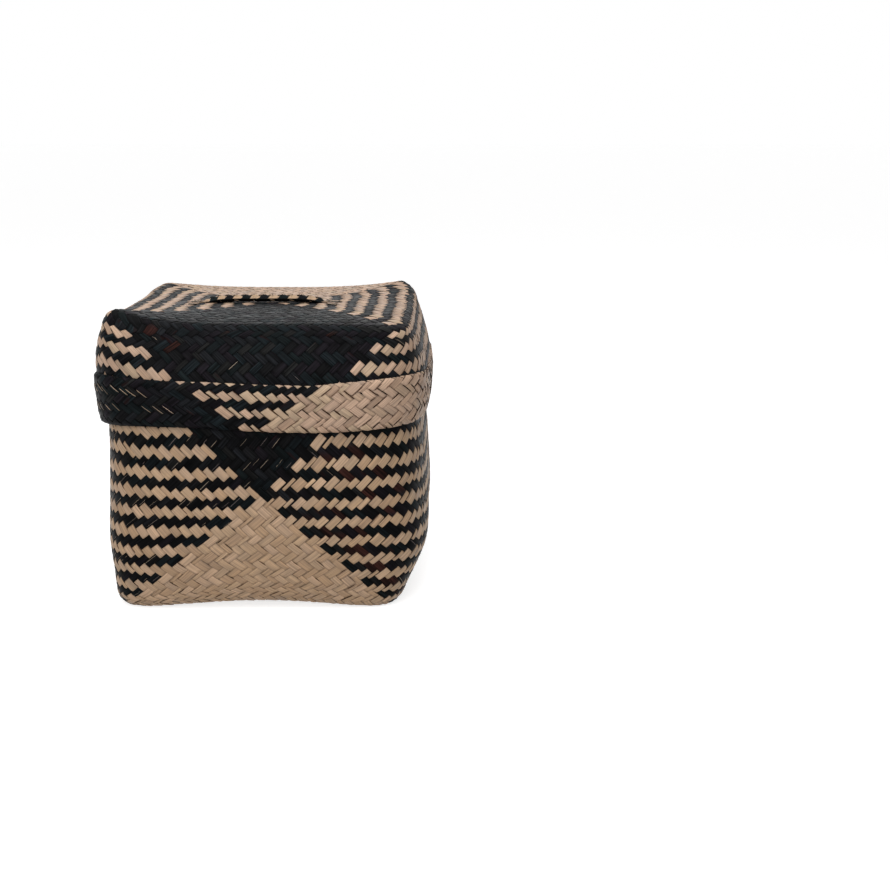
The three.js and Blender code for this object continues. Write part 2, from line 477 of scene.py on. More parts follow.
class Plait:
    """Collects ribbons of one colour in one mesh."""

    def __init__(self, name):
        self.name = name
        self.bm = bmesh.new()
        self.run, self.edge, self.shade = [], [], []

    def ribbon(self, points, run, shade):
        """points and run are arrays of (places along, places across, 3). shade is one colour,
        or one for each of the points."""
        along, across = points.shape[:2]
        shades = np.broadcast_to(shade, (along, across, 4))
        made = bmesh.ops.create_grid(self.bm, x_segments=along - 1, y_segments=across - 1, size=0.5)
        for vert in made["verts"]:
            i = round((vert.co.x + 0.5) * (along - 1))
            j = round((vert.co.y + 0.5) * (across - 1))
            vert.co = points[i, j]
            self.run.append(run[i, j])
            self.edge.append(2 * j / (across - 1) - 1)
            self.shade.append(shades[i, j])

    def finish(self, body, slot, material, replaced=(), thickness=LEAF_THICKNESS):
        for edge in self.bm.edges:
            edge.smooth = not edge.is_boundary
        mesh = bpy.data.meshes.new(self.name)
        self.bm.to_mesh(mesh)
        self.bm.free()
        for name, kind, field, values in (
            ("leaf_run", "FLOAT_VECTOR", "vector", self.run),
            ("leaf_edge", "FLOAT", "value", self.edge),
            ("leaf_shade", "FLOAT_COLOR", "color", self.shade),
        ):
            attribute = mesh.attributes.new(name, kind, "POINT")
            attribute.data.foreach_set(field, np.array(values, np.float32).ravel())
        mesh.polygons.foreach_set("use_smooth", [True] * len(mesh.polygons))
        mesh.materials.append(material)
        piece = add_object(self.name, mesh)
        thick = piece.modifiers.new("leaf thickness", "SOLIDIFY")
        thick.thickness = thickness
        thick.offset = 0
        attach(piece, body)
        if replaced:
            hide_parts(*replaced)
        print(self.name, len(mesh.polygons), "faces before its thickness")


# %% Laying a strip
# In units: how far a strip wanders sideways, over what length, and how far the points of its
# grid stay inside its cut ends.
WOBBLE = 0.05
TIGHT_WOBBLE = 0.012
WOBBLE_LENGTH = 11.3
END_MARGIN = 0.02
# Shifts from one strip to the next: of its wobble, and of its place in the leaf's noise.
WOBBLE_SHIFT = 0.37
RUN_SHIFT = 0.037
OVERLAP_LIFT = 0.06 * MM


def lay(plait, layer, sides, rows, levels, ends, place, number, shade, lift, crown, wobble):
    """Lays one ribbon. sides are its two edges, rows and levels say how high it lies along its
    way, and ends gives its cut ends from the place across. place turns places across and along
    into (u, t). shade is a colour, or a function of (u, t) that gives one. Each number has a
    wobble and fibre lines of its own."""
    across = np.linspace(*sides, 3)
    start, stop = ends(across)
    kept = [row for row in rows if start.min() < row < stop.max()]
    inner = np.clip(np.array(kept)[:, None], start + END_MARGIN, stop - END_MARGIN)
    grid = np.vstack([start, inner, stop])
    level = np.interp(grid, rows, levels)
    sway = wobble * np.sin(math.tau * (grid / WOBBLE_LENGTH + number * WOBBLE_SHIFT))
    u, t = place(across[None, :] + sway, grid)
    height = WEAVE_HEIGHT * level + np.array([0, 1, 0]) * crown + lift
    points = layer.point(u, t) + layer.normal(u, t) * height[..., None]
    run = np.empty_like(points)
    run[..., 0] = (across - across.mean())[None, :] * unit / math.sqrt(2)
    run[..., 1] = grid * unit / math.sqrt(2)
    run[..., 2] = number * RUN_SHIFT
    plait.ribbon(points, run, shade(u, t) if callable(shade) else shade)


def lay_strip(plait, layer, strip, ends, shade, tight):
    """Lays a whole strip. It is given as its two edges, the edges that it crosses, 1 or -1 for
    each crossing, where it lies over or under, its place function and its number."""
    sides, edges, states, place, number = strip
    rows, levels = float_heights(edges, states)
    lift = int(number) % 2 * OVERLAP_LIFT
    wobble = TIGHT_WOBBLE if tight else WOBBLE
    lay(plait, layer, sides, rows, levels, ends, place, number, shade, lift, LEAF_CROWN, wobble)


# %% [markdown]
# Threads, and painted shade in slits and creases
#
# Where a black strip was split a little unevenly, a thread of undyed leaf shows along it.
# Where two pale strips part, the shade in the gap is painted: a dark ribbon along the join
# for a slit, or a fainter brown one for a crease.
# All of them are very narrow, pointed ribbons that lie along one float, just proud of it.


# %% Threads, and slits and creases of painted shade
MARK_LIFT = LEAF_CROWN + OVERLAP_LIFT + 0.02 * MM
POINT = 0.3


def mark_floats(plait, layer, strip, chance, shades, at, widths, cut, lowest=0):
    """Lays a narrow ribbon on some floats of a strip. at says how far across the strip it
    starts, from 0 to 1. widths says how wide it is and cut how far its ends stay inside the
    float, both in units. Floats below the row lowest are left alone."""
    sides, edges, states, place, number = strip
    for k in range(2, len(states) - 1):
        marked = states[k] == 1 and states[k - 1] == 1 and rng.random() < chance
        if not marked or place(sides[0], edges[k])[1] < lowest:
            continue
        low = sides[0] + (sides[1] - sides[0]) * rng.uniform(*at)
        high = low + rng.uniform(*widths)
        start, stop = edges[k - 1] + rng.uniform(*cut), edges[k + 1] - rng.uniform(*cut)

        def pointed(across):
            taper = POINT * np.abs(2 * (across - low) / (high - low) - 1)
            return start + taper, stop - taper

        rows = np.linspace(start, stop, 6)[1:-1]
        levels = [BOWED] * len(rows)
        lay(
            plait, layer, (low, high), rows, levels, pointed, place, number, pick(shades),
            lift=MARK_LIFT, crown=0, wobble=WOBBLE,
        )


# %% [markdown]
# A basket of ribbons
#
# The basket and the lid are the same thing the other way up, so one function plaits both.
# strip_of tells for each strip its plait, its shade and, for a black one, the pale plait that
# its threads go into and how likely a float has one. end is how far strips run along a wall.


# %% Finding the way over the base
def on_base(across, along):
    """(u, t) of a place on the base of group 0: strips have p - q = across, p + q = along."""
    p, q = (along + across) / 2, (along - across) / 2
    ring = np.maximum(np.maximum(np.abs(p), np.abs(q)), 1e-6)
    turn = FACE / 2 / ring
    front, right, back = -q >= np.abs(p), p >= np.abs(q), q >= np.abs(p)
    u = np.where(right, FACE + q * turn, np.where(back, 2 * FACE - p * turn, 3 * FACE - q * turn))
    return np.where(front, p * turn, u) + FACE / 2, ring - FACE / 2


def group_place(group):
    """Turns a place across and along a strip of a group into (u, t)."""
    def place(across, grid):
        along = grid - FACE
        inside = FACE - across
        u, t = on_base(across, along)
        t_down, t_up = (-inside - along) / 2, (along - inside) / 2
        on_first, on_second = along < -inside, along > inside
        u = np.where(on_first, across - t_down, np.where(on_second, 2 * FACE - across + t_up, u))
        t = np.where(on_first, t_down, np.where(on_second, t_up, t))
        return u + group * FACE, t
    return place


# %% Plaiting a basket
# How far past its cut ends the crossings of a strip are still counted, in units.
PAST_END = 0.3
# Where the marks start, their widths and how far their ends are cut back: see mark_floats.
THREADS = ((0.05, 0.9), (0.025, 0.05), (-0.1, 0.6))
# Creases are painted shade: thin dark lines for the gap beside a pale strip.
GAP_SHADE_MARKS = ((0.97, 0.99), (0.05, 0.14), (-0.1, 0.8))
GAP_SHADE_CHANCE = 0.22


# The plait named last takes the painted shade along the gaps beside pale strips.
def plait_basket(layer, end, widths, shift, strip_of, gap_shade_plait):
    for group in range(4):
        place, first_strip = group_place(group), group * FACE
        for k in range(FACE):
            plait, shade, threads = strip_of(group, k)
            tight = threads is not None or group % 2 == 0
            gaps = half_gap(tight), half_gap(tight)
            sides = (k + widths[group, k] + gaps[0], k + 1 + widths[group, k + 1] - gaps[1])
            length = FACE - sum(sides) / 2 + 2 * end
            first = math.floor(FACE - length - PAST_END)
            last = math.ceil(FACE + length + PAST_END)
            edges = []
            for n in range(first, last + 1):
                edge_of = edge_first if n > FACE else edge_second
                edges.append(edge_of(widths, first_strip + n) - first_strip)
            states = [first_over(k, n, shift) for n in range(first, FACE)]
            states += [-first_over(n, 2 * FACE - 1 - k, shift) for n in range(FACE, last)]

            def ends(across):
                reach_out = FACE - across + 2 * end
                return FACE - reach_out, FACE + reach_out

            strip = (sides, edges, states, place, first_strip + k)
            lay_strip(plait, layer, strip, ends, shade, tight)
            # A pale strip gets painted shade along its gaps, a black one gets threads.
            if threads is None:
                mark_floats(gap_shade_plait, layer, strip, GAP_SHADE_CHANCE, PAINTED_GAP_SHADES, *GAP_SHADE_MARKS)
            else:
                into, chance = threads
                mark_floats(into, layer, strip, chance, DIM_FIBRES, *THREADS)


# %% [markdown]
# Leaf colours
#
# Pale strips run from straw to pinkish brown. Black ones come out of the dye bath blue, green
# or purple black. Every strip gets one shade along its whole length, except where the dye
# took badly and a stretch has kept a dark red brown.


# %% Shades
def linear(hex_colour):
    parts = [int(hex_colour[i:i + 2], 16) / 255 for i in (1, 3, 5)]
    return [c / 12.92 if c <= 0.04045 else ((c + 0.055) / 1.055) ** 2.4 for c in parts] + [1.0]


PALE_SHADES = ["#b09273", "#a98b6c", "#b49576", "#a8896a", "#b29478", "#ad9073", "#b8997c", "#a38568"]
BLACK_SHADES = ["#0d0d0f", "#0a0a0b", "#101113", "#0b0f10", "#0f0d10", "#121212", "#080809", "#0d1113"]
RED_SHADES = ["#1b0e0c", "#170c0a", "#22120f"]
# The pale leaf of the lid and its cuff is a little rosier than the basket's. On the lid its
# bluer tone also paints in part of the whitish sheen that the top shows at a low angle.
LID_SHADES = ["#b3947c", "#ab8f76", "#bb9c84", "#a98b73", "#b1977c", "#be9f86"]
PALE_FIBRES = ["#b39a80", "#98836d", "#c4ab92"]
DIM_FIBRES = ["#7a6c60", "#94836f", "#6a5c58", "#a08d78"]
# The next two are painted shade for the gaps beside pale strips: slits and creases.
PAINTED_SLIT_SHADES = ["#120d0b", "#2a1d16", "#3d2c1f", "#0d0a09"]
PAINTED_GAP_SHADES = ["#43332a", "#2f241d", "#4e3d31"]


def pick(shades, level=1.0):
    """One of the shades, made lighter or darker by a level."""
    return [level * part for part in linear(shades[rng.integers(len(shades))])[:3]] + [1.0]


def pale_shade(spread=0.04, shades=PALE_SHADES):
    return pick(shades, rng.uniform(1 - spread, 1 + spread))


# How many rows the dye takes to turn from black to red brown, half of them on either side.
RED_EDGE = 0.5


def turning_red(low, high):
    """The shade of a black strip that is red brown between two rows of a wall."""
    black, red = np.array(pick(BLACK_SHADES)), np.array(pick(RED_SHADES))

    def shade(u, t):
        before, after = (smooth(t, row - RED_EDGE, row + RED_EDGE) for row in (low, high))
        share = before * (1 - after)
        return black + (red - black) * share[..., None]
    return shade


# %% [markdown]
# What the leaf looks like close up
#
# A leaf strip is a bundle of straight fibres under a thin waxy skin. The fibres show as fine
# lines a third of a millimetre apart, with slow changes of tone along them. Here the lines are
# drawn nearly three times as coarse, so that they show at arm's length. They follow each strip,
# and towards its edges it is darkened with painted shade, for where it bends into the gap beside it.


# %% Materials
def feed(tree, node, inputs):
    """inputs maps a socket's name or number to a value or to the output of another node."""
    for name, value in inputs.items():
        if isinstance(value, bpy.types.NodeSocket):
            tree.links.new(value, node.inputs[name])
        else:
            node.inputs[name].default_value = value


def add_node(tree, kind, inputs=None, stops=(), **settings):
    """Adds a node with its settings and inputs. A Mix node's two colours are its inputs 6
    and 7. stops are the two places of a colour ramp, each with its grey."""
    node = tree.nodes.new(kind)
    for name, value in settings.items():
        setattr(node, name, value)
    feed(tree, node, inputs or {})
    for number, (position, grey) in enumerate(stops):
        node.color_ramp.elements[number].position = position
        node.color_ramp.elements[number].color = (grey, grey, grey, 1)
    return node


def streaks(tree, run, width, length, detail):
    """Noise in streaks of a real width and length that lie along the leaf."""
    scale = (1 / width, 1 / length, 1 / MM)
    place = add_node(tree, "ShaderNodeMapping", {"Vector": run, "Scale": scale}).outputs[0]
    noise = add_node(tree, "ShaderNodeTexNoise", {"Vector": place, "Scale": 1.0, "Detail": detail})
    return noise.outputs["Fac"]


def toned(tree, colour, value, *stops):
    """A colour times the grey that a value has between two stops."""
    grey = add_node(tree, "ShaderNodeValToRGB", {0: value}, stops).outputs["Color"]
    inputs = {0: 1.0, 6: colour, 7: grey}
    return add_node(tree, "ShaderNodeMix", inputs, data_type="RGBA", blend_type="MULTIPLY").outputs[2]


# Real sizes of the streaks in the leaf, and how deep its fibres stand out.
FIBRE_SPACING = 0.9 * MM
FIBRE_LENGTH = 45 * MM
TONE_WIDTH = 6 * MM
TONE_LENGTH = 26 * MM
FIBRE_RELIEF = 0.12 * MM
ROUGHNESS_SPREAD = 0.13
LEAF_IOR = 1.45


def leaf_material(name, fibre_tones, slow_tones, edge, roughness, gloss, fibre_bump, patches=()):
    """edge says how far out a strip starts to darken with painted shade, and its tone at the very
    edge. patches are (colour, noise from, noise to, strength) for thin places in the dye."""
    material = bpy.data.materials.new(name)
    material.use_nodes = True
    tree = material.node_tree
    run = add_node(tree, "ShaderNodeAttribute", attribute_name="leaf_run").outputs["Vector"]
    shade = add_node(tree, "ShaderNodeAttribute", attribute_name="leaf_shade").outputs["Color"]
    across = add_node(tree, "ShaderNodeAttribute", attribute_name="leaf_edge").outputs["Fac"]
    fibres = streaks(tree, run, FIBRE_SPACING, FIBRE_LENGTH, 3.5)
    tones = streaks(tree, run, TONE_WIDTH, TONE_LENGTH, 2.0)
    away = add_node(tree, "ShaderNodeMath", {0: across}, operation="ABSOLUTE").outputs[0]
    result = toned(tree, shade, fibres, (0.3, fibre_tones[0]), (0.7, fibre_tones[1]))
    result = toned(tree, result, tones, (0.3, slow_tones[0]), (0.7, slow_tones[1]))
    # Painted shade: each strip darkens towards its edges, for the shade in the gap beside it.
    result = toned(tree, result, away, (edge[0], 1.0), (1.0, edge[1]))
    for colour, low, high, strength in patches:
        amount = add_node(tree, "ShaderNodeValToRGB", {0: tones}, [(low, 0.0), (high, strength)])
        inputs = {0: amount.outputs["Color"], 6: result, 7: linear(colour)}
        result = add_node(tree, "ShaderNodeMix", inputs, data_type="RGBA").outputs[2]
    relief = {"Height": fibres, "Strength": fibre_bump, "Distance": FIBRE_RELIEF}
    bump = add_node(tree, "ShaderNodeBump", relief)
    rough = [(0.35, roughness - ROUGHNESS_SPREAD), (0.65, roughness + ROUGHNESS_SPREAD)]
    roughened = add_node(tree, "ShaderNodeValToRGB", {0: tones}, rough)
    feed(tree, tree.nodes["Principled BSDF"], {
        "Base Color": result, "Normal": bump.outputs[0], "Roughness": roughened.outputs["Color"],
        "IOR": LEAF_IOR, "Specular IOR Level": gloss,
    })
    return material


# Undyed dried leaf, split and pressed flat: matte, straw coloured, with fine darker fibres.
undyed_leaf = leaf_material(
    "undyed_split_leaf", fibre_tones=(0.62, 1.24), slow_tones=(0.84, 1.14), edge=(0.86, 0.3),
    roughness=0.55, gloss=0.6, fibre_bump=0.8,
)
# The same leaf boiled in black dye: nearly matte face on, with a grey sheen at a low angle.
dyed_leaf = leaf_material(
    "black_dyed_split_leaf", fibre_tones=(0.05, 3.4), slow_tones=(0.55, 1.55), edge=(0.74, 0.05),
    roughness=0.42, gloss=0.03, fibre_bump=1.0, patches=[("#1f0f0e", 0.66, 0.72, 0.6)],
)
# Each kind of leaf with the slot of the record that stands for it.
PALE_LEAF = ("leaf_natural", undyed_leaf)
BLACK_LEAF = ("leaf_black", dyed_leaf)
print("materials:", undyed_leaf.name, dyed_leaf.name)

# %% [markdown]
# The basket
#
# Groups 0 and 3 cross at the front. Here they are pale and make the triangle that stands on
# the base. Groups 1 and 2 are black, and those of group 2, on the left, show the most threads.

# %% Plaiting the basket
FRONT_GROUPS = (0, 3)
# Strips of group 1 that have kept some red, and the rows between which they show it.
RED_STRIPS = {2: (0, 12), 3: (1, 10), 5: (9, 14), 10: (12, 18), 13: (14, 19), 17: (8, 12)}
THREAD_CHANCES = {1: 0.02, 2: 0.32}
BASKET_BLACK = 0.6
BASKET_GROUPS = [
    ("basket_pale_front", ["body_basket"]), ("basket_black_right", ()),
    ("basket_black_left", ()), ("basket_pale_back", ["body_rim_fold"]),
]
body_widths = group_widths()
body_plaits = [Plait(name) for name, replaced in BASKET_GROUPS]
# The crease plait holds painted shade: dark lines along the gaps beside pale strips.
body_gap_shade, body_fibres = Plait("basket_painted_gap_shade"), Plait("basket_fibres")


def body_strip(group, k):
    if group in FRONT_GROUPS:
        return body_plaits[group], pale_shade(), None
    is_red = group == 1 and k in RED_STRIPS
    shade = turning_red(*RED_STRIPS[k]) if is_red else pick(BLACK_SHADES, BASKET_BLACK)
    return body_plaits[group], shade, (body_fibres, THREAD_CHANCES[group])


plait_basket(basket_layer, BODY_END, body_widths, 0, body_strip, body_gap_shade)
for group, (plait, (name, replaced)) in enumerate(zip(body_plaits, BASKET_GROUPS)):
    leaf = PALE_LEAF if group in FRONT_GROUPS else BLACK_LEAF
    plait.finish("basket", *leaf, replaced)
body_gap_shade.finish("basket", *BLACK_LEAF, (), GAP_SHADE_AND_THREAD_THICKNESS)
body_fibres.finish("basket", *PALE_LEAF, (), GAP_SHADE_AND_THREAD_THICKNESS)

# %% [markdown]
# The lid
#
# The lid is plaited like the basket, upside down and with the colours the other way round,
# so its top and its wall show a black triangle at the front. Its strips stop at the rim.

# %% The lid's layer
LID_COUNTED = [(211, 0), (203.3, 2.25), (191, 4.25), (176.4, 6.25)]
LID_UNIT_RUN = 7.5 * MM
EDGE_ROUND = 9.5 * MM
RIM_HIDDEN = 1.5 * MM
BESIDE_STRAP = 20 * MM
LID_PULL = 2.8 * MM
LID_SLIDE = 0.45
LID_PULLED_AT, LID_SLID_AT = (2, 9), (1, 12)
lid_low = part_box("lid_basket")[0].z
lid_flat = top_of(lid_skin, BESIDE_STRAP)
lid_wall = wall_points(lid_skin, lid_flat - EDGE_ROUND, lid_low + RIM_HIDDEN, LAYER / 2, 24)
lid_edge = arc(lid_wall[0], EDGE_ROUND - LAYER / 2, np.linspace(math.pi / 2, 0, 7)[:-1])
lid_rows = count_units(lid_edge + lid_wall, LID_COUNTED, LID_UNIT_RUN)
lid_rows.insert(0, (-FACE / 2, 0.0, lid_flat - LAYER / 2, lid_wall[0][2]))
LID_END = lid_rows[-1][0]
print("strips of the lid run", round(LID_END, 1), "units down its wall")


def lid_shape(place, u, t):
    place = waved(place, WAVE * (0.5 + 0.5 * wave(u, place[..., 2])) * smooth(t, 0, 3))
    pulled = smooth(t, 0.3, 1.5) * (1 - smooth(t, 2.5, 5))
    place[..., 2] -= LID_PULL * near(u, *LID_PULLED_AT) * pulled
    return raise_top(place, u, np.minimum(t, 0) / (FACE / 2))


def lid_slide(u, t):
    """Rows slide one way on the wall and the other way on the top."""
    return LID_SLIDE * near(u, *LID_SLID_AT) * (2 * smooth(t, 0.3, 1.8) - 1) * smooth(t, -4, -1)


lid_layer = Layer(lid_rows, -1, lid_shape, lid_slide)

# %% Plaiting the lid
LID_SHIFT = 2
LID_THREADS = 0.03
# Strips of group 0 with a red brown fleck, and the rows between which it lies.
RED_FLECKS = {5: (0.5, 2), 9: (2.5, 4), 12: (0, 1), 22: (1, 2.5)}
lid_widths = group_widths()
lid_pale, lid_black = Plait("lid_pale_strips"), Plait("lid_black_strips")


def lid_strip(group, k):
    if group in FRONT_GROUPS:
        is_red = group == 0 and k in RED_FLECKS
        shade = turning_red(*RED_FLECKS[k]) if is_red else pick(BLACK_SHADES)
        return lid_black, shade, (lid_pale, LID_THREADS)
    # Partly painted sheen: the lid's pale strips take the bluer lid shades.
    return lid_pale, pale_shade(shades=LID_SHADES), None


# The painted shade along the gaps beside the lid's pale strips goes into its black plait.
plait_basket(lid_layer, LID_END, lid_widths, LID_SHIFT, lid_strip, lid_black)
lid_pale.finish("lid", *PALE_LEAF)
lid_black.finish("lid", *BLACK_LEAF, ["lid_basket"])

# %% [markdown]
# The cuff
#
# At the lid's rim the ends of the strips are turned out and plaited back up the wall as a
# broad band. It wraps round the rim, so no cut end shows. Both families are pale from the
# middle of the front round the right to the middle of the back, and black round the left.

# %% The cuff's layer
CUFF_UNIT_RUN = 6.4 * MM
CUFF_DROP = 1.8 * MM
CUFF_SWAY = 2 * MM
CUFF_SLIDE = 0.6
CUFF_SLID_AT = (15, 9)
# Units along a face, and how many millimetres the upper edge dips there.
CUFF_EDGE = np.array([
    (0, 0), (6, 3.9), (11, 3.4), (16, 2.9), (19, 3.2), (21.5, 1.6), (25, 0.5), (28, 0),
]).T
WRAP_STEP = 3.4 * MM
WRAP_UP = 3 * MM
TUCK_IN = 1.2 * MM
TUCK_UP = 0.8 * MM
cuff_low, cuff_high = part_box("lid_cuff")
cuff_wall = wall_points(cuff_skin, cuff_low.z + WRAP_STEP / 2, cuff_high.z - CUFF_DROP, LAYER / 2, 14)
bottom = cuff_wall[0]
wrap = arc(bottom, WRAP_STEP / 2, np.linspace(-math.pi, 0, 7)[:-1])
wrap.insert(0, (bottom[0] - WRAP_STEP, bottom[1] + WRAP_UP, bottom[2]))
tuck = (cuff_wall[-1][0] - TUCK_IN, cuff_wall[-1][1] + TUCK_UP, cuff_wall[-1][2])
cuff_line = wrap + cuff_wall + [tuck]
cuff_run = run_along(cuff_line)
# The count is 0 at the very bottom of the rim, half way round the wrap, and below zero inside.
bottom_run = cuff_run[4]
cuff_rows = [((run - bottom_run) / CUFF_UNIT_RUN, *p) for run, p in zip(cuff_run, cuff_line)]
cuff_start, cuff_end = cuff_rows[0][0], cuff_rows[-1][0]
print("strips of the cuff run from", round(cuff_start, 2), "to", round(cuff_end, 2), "units")


def up_share(t):
    """0 at the rim, growing to 1 at the upper edge."""
    return np.clip(t / cuff_end, 0, 1) ** 2


def cuff_shape(place, u, t):
    place = waved(place, WAVE * (0.5 + 0.5 * wave(u, place[..., 2])))
    place[..., 2] += CUFF_SWAY * np.sin(math.tau * u / FACE + 0.5)
    place[..., 2] -= np.interp(np.mod(u, FACE), *CUFF_EDGE) * MM * up_share(t)
    return place


def cuff_slide(u, t):
    return CUFF_SLIDE * near(u, *CUFF_SLID_AT) * up_share(t)


cuff_layer = Layer(cuff_rows, 1, cuff_shape, cuff_slide)

# %% Plaiting the cuff
# For each family, the first strip that is pale. Then the first that is black again.
PALE_FROM = (FACE / 2 - 1, FACE / 2)
PALE_TO = FACE / 2 + 2 * FACE
PALE_SPREAD = 0.14
# For each family, how likely a pale float has a slit or crease of painted shade beside it, and its
# shades.
CUFF_PAINTED_SLITS = ((0.45, PAINTED_SLIT_SHADES), (0.3, PAINTED_GAP_SHADES))
PAINTED_SLIT_MARKS = ((0.97, 0.99), (0.05, 0.2), (-0.1, 0.6))
NEAR_GAP_SHADE_MARKS = ((-0.04, -0.02), (0.04, 0.1), (-0.1, 0.8))
NEAR_GAP_SHADE_CHANCE = 0.5
# Up to which strip, and how likely a black float has a thread: front left, elsewhere, left.
THREADED = [(9, 0.9), (85, 0.05), (ROUND, 0.45)]
CUFF_THREADS = ((0.05, 0.9), (0.05, 0.09), (0, 0.3))
LOWEST_THREAD = 1.3
cuff_widths = rng.uniform(-WIDTH_SPREAD, WIDTH_SPREAD, (2, ROUND))
cuff_pale, cuff_black = Plait("cuff_pale_strips"), Plait("cuff_black_strips")


def cuff_edge(family, k):
    return k + cuff_widths[family, k % ROUND]


for family, sign in ((0, 1), (1, -1)):
    def ends(across, sign=sign):
        return np.sort([across - sign * 2 * t for t in (cuff_start, cuff_end)], axis=0)

    def place(across, grid, sign=sign):
        return (across + grid) / 2, sign * (across - grid) / 2

    for k in range(ROUND):
        is_pale = PALE_FROM[family] <= k < PALE_TO
        tight = family == 1 or not is_pale
        sides = (cuff_edge(family, k) + half_gap(tight), cuff_edge(family, k + 1) - half_gap(tight))
        start, stop = ends(np.array([sum(sides) / 2]))
        first, last = math.floor(start[0] - PAST_END), math.ceil(stop[0] + PAST_END)
        edges = [cuff_edge(1 - family, n) for n in range(first, last + 1)]
        crossed = range(first, last)
        states = [first_over(k, n) if family == 0 else -first_over(n, k) for n in crossed]
        plait = cuff_pale if is_pale else cuff_black
        shade = pale_shade(PALE_SPREAD, LID_SHADES) if is_pale else pick(BLACK_SHADES)
        strip = (sides, edges, states, place, ROUND + k + 0.5 * family)
        lay_strip(plait, cuff_layer, strip, ends, shade, tight)
        if is_pale:
            # Painted shade: dark slits and creases along the gaps beside a pale strip.
            mark_floats(cuff_black, cuff_layer, strip, *CUFF_PAINTED_SLITS[family], *PAINTED_SLIT_MARKS)
            mark_floats(cuff_black, cuff_layer, strip, NEAR_GAP_SHADE_CHANCE, PAINTED_GAP_SHADES, *NEAR_GAP_SHADE_MARKS)
        elif family == 0:
            chance = next(share for last_strip, share in THREADED if k < last_strip)
            mark_floats(cuff_pale, cuff_layer, strip, chance, PALE_FIBRES, *CUFF_THREADS, LOWEST_THREAD)

cuff_pale.finish("lid", *PALE_LEAF, ["lid_cuff"])
cuff_black.finish("lid", *BLACK_LEAF)

# %% [markdown]
# The strap
#
# The strap is a flat plait of four folded strips, two pale and two black. Each strip swings
# from edge to edge, over one and under one, and tips outwards where it turns back, so the
# side of the strap shows a row of slanting lens shapes. The strap rises out of one slit in
# the lid and goes down through the other, and its tails lie flat under the lid.

# %% The strap's line
STRAP_DROP = 3.9 * MM
STRAP_THICKNESS = 2.4 * MM
STRAP_BEND = 2.6 * MM
STEEP_PART = 6 * MM
ARCH_SHARE = 0.7
TAIL = 16 * MM
strap_low, strap_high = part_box("lid_handle")
strap_half = (strap_high.y - strap_low.y) / 2
strap_middle = (strap_low.x + strap_high.x) / 2
leg = strap_high.x - strap_middle - STRAP_BEND - TAIL
tail_z = strap_low.z + STRAP_THICKNESS / 2
rest_z = strap_high.z - STRAP_THICKNESS / 2 - STRAP_DROP


def curve_points(a, b, c, d, count):
    s = np.linspace(0, 1, count)[:, None]
    a, b, c, d = (np.array(p) for p in (a, b, c, d))
    return a * (1 - s) ** 3 + 3 * b * (1 - s) ** 2 * s + 3 * c * (1 - s) * s**2 + d * s**3


half_line = np.vstack([
    [(leg + STRAP_BEND + TAIL, tail_z), (leg + STRAP_BEND, tail_z)],
    [(leg + STRAP_BEND * 0.3, tail_z + STRAP_BEND * 0.3), (leg, tail_z + STRAP_BEND)],
    curve_points(
        (leg, lid_flat - 0.5 * MM), (leg - STEEP_PART, rest_z),
        (leg * ARCH_SHARE, rest_z), (0, rest_z), 14,
    ),
])
strap_line = np.vstack([half_line, (half_line * [-1, 1])[::-1][1:]])
strap_line[:, 0] += strap_middle
strap_run = run_along(strap_line)
strap_length = strap_run[-1]


def on_line(s):
    """x and z of a place along the strap's line."""
    return [np.interp(s, strap_run, strap_line[:, i]) for i in (0, 1)]


def strap_point(s, side, height):
    """A place along the strap's line, to one side of it and above it. s is kept between the
    strap's ends, because the line has no slope past them."""
    step = 1.2 * MM
    s = np.clip(s, 0, strap_length)
    x, z = on_line(s)
    dx, dz = (after - before for after, before in zip(on_line(s + step), on_line(s - step)))
    length = np.hypot(dx, dz)
    return np.stack([x + dz / length * height, side, z - dx / length * height], -1)


print("strap", round(strap_length / MM), "mm long, rises", round((rest_z - lid_flat) / MM, 1), "mm")

# %% Plaiting the strap
STRANDS = 4
STRAND_WIDTH = 5.8 * MM
STRAND_THICKNESS = 0.8 * MM
STRAND_LEVEL = 0.7 * MM
STRAND_CROWN = 0.3 * MM
# How far a strip tips where it turns back, and how far it reaches past the strap's edge.
TIP = math.radians(33)
SIDE_OUT = 0.8 * MM
BEAT = 27 * MM
# How far the braid's beat and its width drift, and over what length.
BEAT_DRIFT, BEAT_DRIFT_RUN = 0.07, 17 * MM
SWING_DRIFT, SWING_DRIFT_RUN = 0.1, 19 * MM
# How sharply a strip turns back, and how quickly it changes level there.
TURN_CRISP = 0.97
LEVEL_CRISP = 5
swing = strap_half - STRAND_WIDTH / 2 + SIDE_OUT
period = strap_length / round(strap_length / BEAT)
strap_pale, strap_black = Plait("strap_pale_strips"), Plait("strap_black_strips")


def strap_ribbon(is_pale, points, across, along, leaf):
    """across and along are places on the ribbon, and leaf sets its fibre lines apart."""
    run = np.stack(np.broadcast_arrays(across, along, np.array(leaf)), -1)
    plait = strap_pale if is_pale else strap_black
    plait.ribbon(points, run, pale_shade() if is_pale else pick(BLACK_SHADES))


